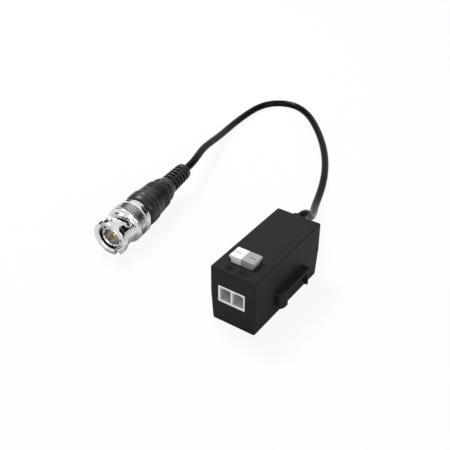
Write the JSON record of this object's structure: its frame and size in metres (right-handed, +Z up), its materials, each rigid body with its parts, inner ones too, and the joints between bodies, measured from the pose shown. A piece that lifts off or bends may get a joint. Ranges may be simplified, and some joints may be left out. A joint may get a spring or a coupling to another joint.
{
  "type": "cctv video balun",
  "caption": "Passive video balun: a snap-together black housing with a push-in wire terminal, and a short coaxial lead to a bayonet plug with a moulded boot.",
  "frame": {"origin": "centre of the housing's base face", "axes": "+X to the housing's right side, where its joining rail is, +Y from the wire terminal to the lead, +Z up from the base"},
  "size_m": [0.0913, 0.1489, 0.0238],
  "materials": {
    "black_plastic": "fine matt moulding texture",
    "white_plastic": "satin moulded",
    "grey_plastic": "satin moulded",
    "tinned_brass": "tin plated",
    "spring_steel": "bright rolled",
    "board_green": "solder resist on glass epoxy",
    "ferrite": "matt sintered ferrite",
    "red_enamel_wire": "enamelled copper wire",
    "green_enamel_wire": "enamelled copper wire",
    "capacitor_blue": "dipped coating",
    "diode_black": "moulded epoxy",
    "resistor_tan": "lacquered",
    "black_pvc": "satin soft PVC",
    "white_wire": "wire insulation",
    "copper_braid": "bare copper braid, twisted",
    "nickel": "bright nickel plate",
    "gold_plate": "thin gold plate",
    "insulator_white": "machined fluoropolymer",
    "silicone_gasket": "moulded silicone"
  },
  "bodies": {
    "balun": {"housing_cover": "black_plastic", "housing_base": "black_plastic", "terminal_body": "white_plastic", "contact_plus": "tinned_brass", "contact_minus": "tinned_brass", "clamp_spring_plus": "spring_steel", "clamp_spring_minus": "spring_steel", "circuit_board": "board_green", "transformer_core": "ferrite", "winding_line": "red_enamel_wire", "winding_video": "green_enamel_wire", "suppressor_diode": "diode_black", "disc_capacitor": "capacitor_blue", "resistor_1": "resistor_tan", "resistor_2": "resistor_tan", "lead_inner_end": "black_pvc", "lead_crimp_ring": "tinned_brass", "lead_core_wire": "white_wire", "lead_braid_wire": "copper_braid", "coax_cable": "black_pvc", "wave_washer": "spring_steel", "plug_body": "nickel", "center_pin": "gold_plate", "insulator": "insulator_white", "gasket": "silicone_gasket", "plug_boot": "black_pvc", "crimp_ferrule": "tinned_brass", "lead_plug_end": "black_pvc"},
    "plus_button": {"button_plus": "white_plastic"},
    "minus_button": {"button_minus": "grey_plastic"},
    "nut_carrier": {"thrust_washer": "tinned_brass"},
    "nut": {"coupling_nut": "nickel", "retaining_ring": "spring_steel"}
  },
  "joints": [
    {"name": "press_plus", "type": "slide", "parent": "balun", "child": "plus_button", "axis": [0, 0, -1], "range_m": [0, 0.0011], "stiffness_N_per_m": 1900, "springref_m": -0.0005, "deforming": ["clamp_spring_plus"]},
    {"name": "press_minus", "type": "slide", "parent": "balun", "child": "minus_button", "axis": [0, 0, -1], "range_m": [0, 0.0011], "stiffness_N_per_m": 1900, "springref_m": -0.0005, "deforming": ["clamp_spring_minus"]},
    {"name": "nut_slide", "type": "slide", "parent": "balun", "child": "nut_carrier", "axis": [0.0922, -0.9944, -0.0523], "range_m": [0, 0.001], "stiffness_N_per_m": 1500, "springref_m": -0.0003, "deforming": ["wave_washer"]},
    {"name": "nut_spin", "type": "hinge", "parent": "nut_carrier", "child": "nut", "pos_m": [-0.0579, -0.0133, 0.00707], "axis": [-0.0922, 0.9944, 0.0523], "continuous": true}
  ]
}
